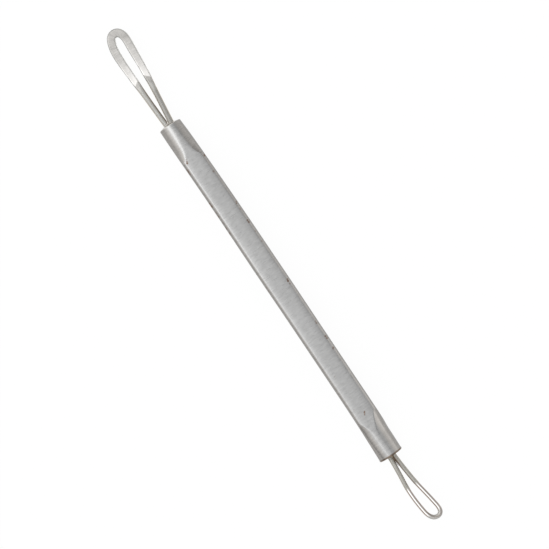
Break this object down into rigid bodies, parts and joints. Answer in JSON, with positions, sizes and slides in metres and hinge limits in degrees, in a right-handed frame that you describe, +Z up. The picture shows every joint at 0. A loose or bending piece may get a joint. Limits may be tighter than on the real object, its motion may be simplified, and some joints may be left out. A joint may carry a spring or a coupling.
{
  "type": "blackhead extractor",
  "caption": "Double-ended loop extractor: square steel bar handle with turned ends, a planished wire loop at one end and a small round wire loop at the other.",
  "frame": {"origin": "centre of the handle's lower flat, on which the tool lies", "axes": "+X along the handle from the large loop to the small loop, +Z up out of the upper flat, +Y to the left of +X"},
  "size_m": [0.1176, 0.0057, 0.0051],
  "materials": {
    "handle_steel": "satin, brushed across the flats and round the turned ends",
    "loop_steel": "bright planished tip, dull drawn legs",
    "fine_loop_steel": "polished eye, dull drawn legs",
    "braze_alloy": "pale dull silver braze"
  },
  "bodies": {
    "root": {"handle": "handle_steel", "large_loop": "loop_steel", "small_loop": "fine_loop_steel", "large_loop_braze": "braze_alloy", "small_loop_braze": "braze_alloy"}
  },
  "joints": []
}
